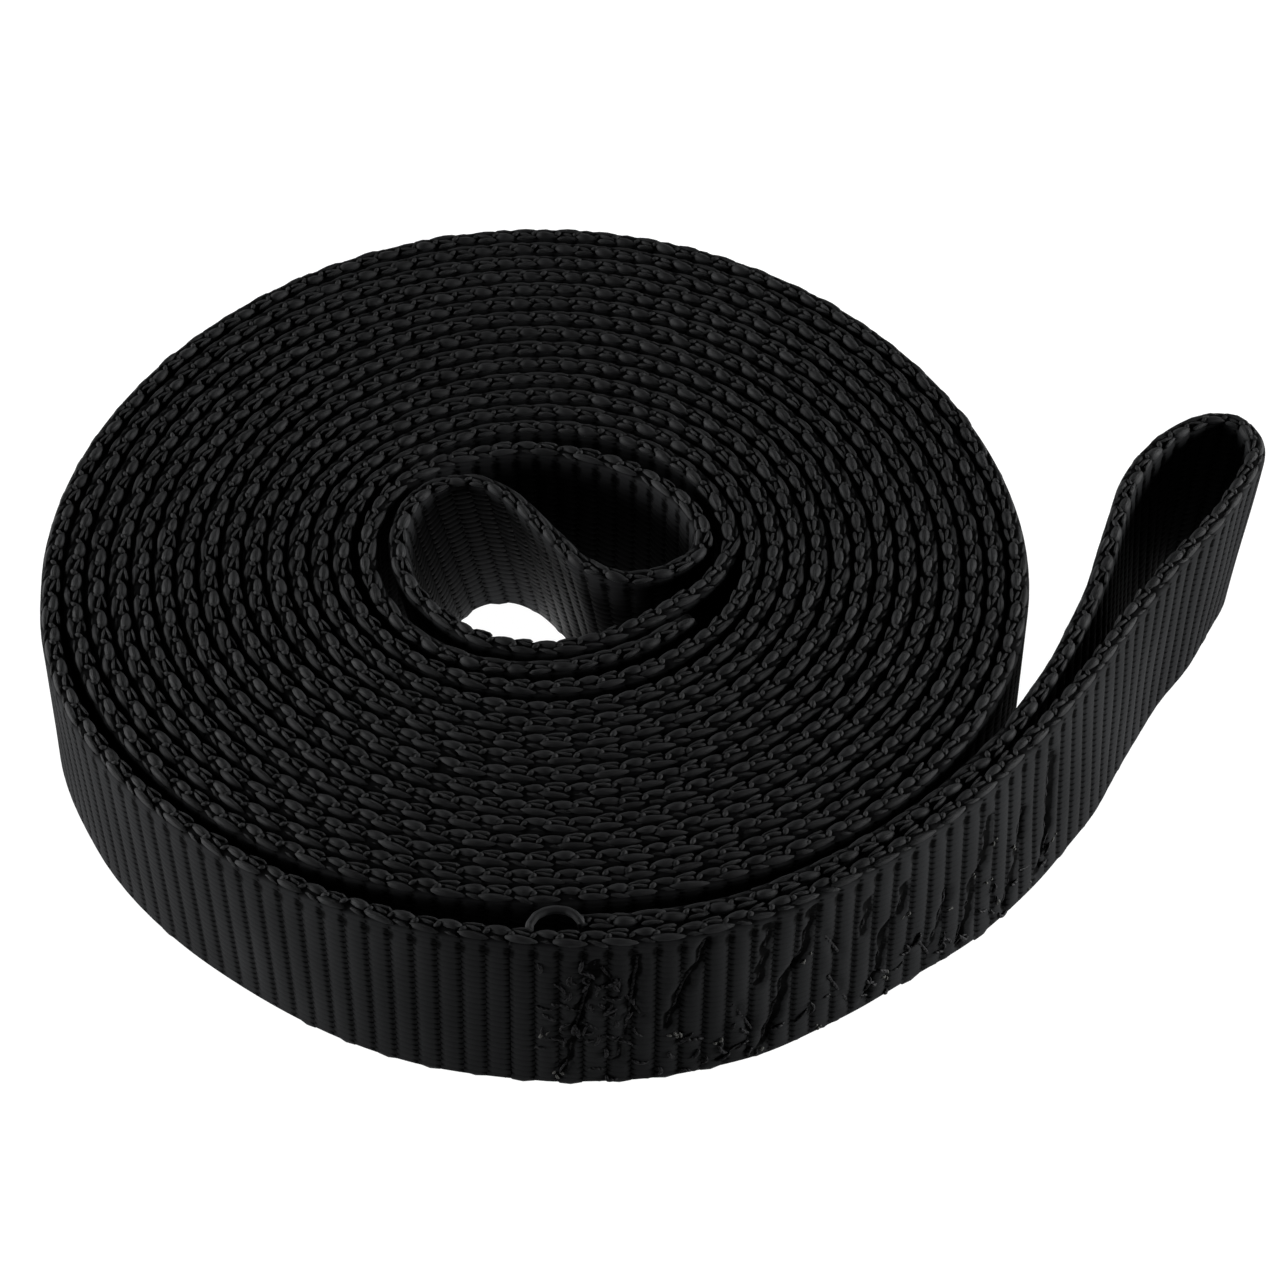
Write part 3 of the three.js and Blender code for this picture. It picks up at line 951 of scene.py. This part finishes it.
class STRAP_OT_selvedges(Operator):
    """Builds the chained yarn loops along the upper and lower edges of the webbing"""

    bl_idname = "strap.selvedges"
    bl_label = "Selvedges"

    def execute(self, context):
        route = strap_route()
        repeat = SELVEDGE_REPEAT_RIBS * context.scene.strap.rib_pitch
        repeats = np.arange(0, int(route.length / repeat) + 1)
        rng = np.random.default_rng(5)
        for number, part in enumerate(np.array_split(repeats, UPPER_SELVEDGE_PIECES)):
            made = chain_yarns(route, UPPER_LOOPS, part, rng, 1)
            add_piece(f"upper_selvedge_{number + 1}", *made, FINISHES["selvedge"], "webbing")
        made = chain_yarns(route, LOWER_LOOPS, repeats, rng, -1)
        add_piece("lower_selvedge", *made, FINISHES["selvedge"], "webbing")
        return {"FINISHED"}


class STRAP_OT_seam(Operator):
    """Builds the sewing thread of the outer eye's seam"""

    bl_idname = "strap.seam"
    bl_label = "Seam thread"

    def execute(self, context):
        strap, seam = context.scene.strap, context.scene.seam
        route = strap_route()
        cut = route.outer(OUTER_TAIL_CUT_STEP)
        tubes = []
        for _, line in SEAM_GROOVES:
            heights, distances = np.array(line).T * MM
            height = np.linspace(heights[0], heights[-1], THREAD_POINTS)
            along = cut + np.interp(height, heights, distances)
            dips = np.abs(np.sin(math.pi * (height - height[0]) / STITCH_LENGTH))
            sunk = seam.thread * (STITCH_DIP * dips - THREAD_SINK)
            side = -(strap.thickness / 2 - pucker(route, along, height)) - sunk
            tubes.append(tube(route.place(along, side, height), seam.thread / 2, THREAD_SIDES))
        piece = add_piece("seam_thread", *join_tubes(tubes), FINISHES["thread"], "thread")
        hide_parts("outer_eye_stitching")
        return {"FINISHED"}


class STRAP_OT_loose_yarns(Operator):
    """Builds the loose yarns of the outer tail's cut end and the chafed spots of the seam"""

    bl_idname = "strap.loose_yarns"
    bl_label = "Loose yarns"

    def execute(self, context):
        strap = context.scene.strap
        route = strap_route()
        rng = np.random.default_rng(23)
        cut = route.outer(OUTER_TAIL_CUT_STEP)
        face = -strap.thickness / 2
        loop = np.array(TAIL_LOOP) * MM
        steps = np.linspace(0, len(loop) - 1, TAIL_LOOP_POINTS)
        loop = np.stack([np.interp(steps, np.arange(len(loop)), column) for column in loop.T])
        path = route.place(cut + loop[0], loop[1], loop[2])
        places, faces, weave = tube(path, TAIL_LOOP_RADIUS, TAIL_LOOP_SIDES)
        weave = weave * (0, 1, 0) + (0.3, 0, 1)
        add_piece("tail_loop", places, faces, weave, FINISHES["selvedge"], "webbing")
        tubes = []
        for number in range(FRAYED_YARNS):
            near = number % 2 == 0
            start = cut + rng.uniform(*(NEAR_CUT if near else ALONG_SEAM)) * MM
            low = rng.uniform(*(NEAR_CUT_HEIGHTS if near else ALONG_SEAM_HEIGHTS)) * MM
            length = rng.uniform(*FRAYED_LENGTH) * MM
            tubes.append(tube(*self.strand(route, rng, start, low, face, length)))
        add_piece("loose_yarns", *join_tubes(tubes), FINISHES["thread"], "webbing")
        tufts = []
        for number in range(LINT_TUFTS):
            distance, height = np.array(CHAFED_SPOTS[number % len(CHAFED_SPOTS)]) * MM
            start = cut + distance + rng.normal(0, LINT_SPREAD[0])
            low = max(height + rng.normal(0, LINT_SPREAD[1]), LINT_LOWEST)
            length = rng.uniform(*LINT_LENGTH) * MM
            path, radius, sides = self.strand(route, rng, start, low, face, length)
            tufts.append(tube(path, radius * LINT_THICKNESS, sides))
        add_piece("chafed_spots", *join_tubes(tufts), FINISHES["lint"], "webbing")
        return {"FINISHED"}

    @staticmethod
    def strand(route, rng, start, low, face, length):
        """A short bent yarn that lies on the outer face: its path, radii and number of sides."""
        t = np.linspace(0, 1, STRAND_POINTS)
        heading = rng.uniform(0, TAU)
        bend = rng.uniform(-STRAND_BEND, STRAND_BEND)
        along = start + length * np.cumsum(np.cos(heading + bend * t)) / len(t)
        height = low + length * np.cumsum(np.sin(heading + bend * t)) / len(t)
        height = np.clip(height, *STRAND_HEIGHTS)
        side = face + STRAND_SEAT - rng.uniform(*STRAND_LIFT) * MM * np.sin(math.pi * t)
        swell = STRAND_TIP + (1 - STRAND_TIP) * np.sin(math.pi * t) ** 0.5
        radius = rng.uniform(*STRAND_RADIUS) * MM * swell
        return route.place(along, side, height), radius, STRAND_SIDES


class STRAP_OT_stage(Operator):
    """Builds the floor, the soft lights and the camera"""

    bl_idname = "strap.stage"
    bl_label = "Stage"

    def execute(self, context):
        stage = context.scene.stage
        half = stage.floor_size / 2
        mesh = bpy.data.meshes.new("floor")
        corners = [(-half, -half, 0), (half, -half, 0), (half, half, 0), (-half, half, 0)]
        mesh.from_pydata(corners, [], [(0, 1, 2, 3)])
        mesh.materials.append(floor_finish())
        floor = bpy.data.objects.new("floor", mesh)
        context.scene.collection.objects.link(floor)
        floor.location.z = FLOOR_DROP
        middle = Vector((0, 0, 0))
        core = Vector(CORE_LIGHT) - Vector((*strap_route().centre, 0))
        for name, place, aim, size, power in (
            ("left_light", LEFT_LIGHT, middle, SIDE_LIGHT_SIZE, stage.side_light),
            ("right_light", RIGHT_LIGHT, middle, SIDE_LIGHT_SIZE, stage.side_light),
            ("top_light", TOP_LIGHT, middle, TOP_LIGHT_SIZE, stage.top_light),
            ("core_light", core, core + Vector((0, 0, 1)), CORE_LIGHT_SIZE, stage.core_light),
        ):
            light = bpy.data.lights.new(name, "AREA")
            light.shape = "RECTANGLE"
            light.size, light.size_y = size
            light.energy = power
            lamp = bpy.data.objects.new(name, light)
            lamp.location = place
            lamp.rotation_euler = (aim - Vector(place)).to_track_quat("-Z", "Y").to_euler()
            context.scene.collection.objects.link(lamp)
        world = bpy.data.worlds.new("studio")
        world.use_nodes = True
        background = world.node_tree.nodes["Background"]
        background.inputs["Color"].default_value = (1, 1, 1, 1)
        background.inputs["Strength"].default_value = WORLD_STRENGTH
        context.scene.world = world
        context.scene.view_settings.view_transform = "Standard"
        self.add_camera(context)
        return {"FINISHED"}

    def add_camera(self, context):
        """The lens looks at the roll's middle from the front, tilted, panned and rolled a little."""
        centre = strap_route().centre
        elevation = math.radians(CAMERA_ELEVATION)
        aim = math.radians(CAMERA_ELEVATION + CAMERA_TILT)
        pan, roll = math.radians(CAMERA_PAN), math.radians(CAMERA_ROLL)
        place = CAMERA_DISTANCE * Vector((0, -math.cos(elevation), math.sin(elevation)))
        forward = Vector((math.sin(pan) * math.cos(aim), math.cos(pan) * math.cos(aim), -math.sin(aim)))
        right = Vector((math.cos(pan), -math.sin(pan), 0))
        down = forward.cross(right)
        right, down = (
            right * math.cos(roll) + down * math.sin(roll),
            down * math.cos(roll) - right * math.sin(roll),
        )
        data = bpy.data.cameras.new("camera")
        data.lens, data.sensor_width, data.sensor_fit = LENS_MM, SENSOR_MM, "HORIZONTAL"
        data.clip_start, data.clip_end = CAMERA_CLIP
        camera = bpy.data.objects.new("camera", data)
        turn = Matrix((right, -down, -forward)).transposed()
        camera.matrix_world = Matrix.Translation(place - Vector((*centre, 0))) @ turn.to_4x4()
        context.scene.collection.objects.link(camera)
        context.scene.camera = camera


class STRAP_PT_panel(Panel):
    """Lists the strap's settings and the pieces that can be built"""

    bl_idname = "STRAP_PT_panel"
    bl_label = "Rolled tow strap"
    bl_space_type = "VIEW_3D"
    bl_region_type = "UI"
    bl_category = "Strap"

    def draw(self, context):
        for operator in OPERATORS:
            self.layout.operator(operator.bl_idname)
        for settings in (context.scene.strap, context.scene.seam, context.scene.stage):
            box = self.layout.box()
            for name in settings.bl_rna.properties.keys():
                if name not in ("rna_type", "name"):
                    box.prop(settings, name)


OPERATORS = (STRAP_OT_webbing, STRAP_OT_selvedges, STRAP_OT_seam, STRAP_OT_loose_yarns, STRAP_OT_stage)
GROUPS = {"strap": StrapSettings, "seam": SeamSettings, "stage": StageSettings}
FINISHES = {}


def register():
    for group in GROUPS.values():
        bpy.utils.register_class(group)
    for name, group in GROUPS.items():
        setattr(bpy.types.Scene, name, PointerProperty(type=group))
    for operator in (*OPERATORS, STRAP_PT_panel):
        bpy.utils.register_class(operator)


def unregister():
    for operator in (*OPERATORS, STRAP_PT_panel):
        bpy.utils.unregister_class(operator)
    for name, group in GROUPS.items():
        delattr(bpy.types.Scene, name)
        bpy.utils.unregister_class(group)


def main():
    """Builds everything."""
    register()
    FINISHES.update(
        webbing=webbing_finish(), selvedge=selvedge_finish(), thread=thread_finish(), lint=lint_finish(),
    )
    bpy.ops.strap.stage()
    bpy.ops.strap.webbing()
    bpy.ops.strap.selvedges()
    bpy.ops.strap.seam()
    bpy.ops.strap.loose_yarns()


if __name__ == "__main__":
    main()
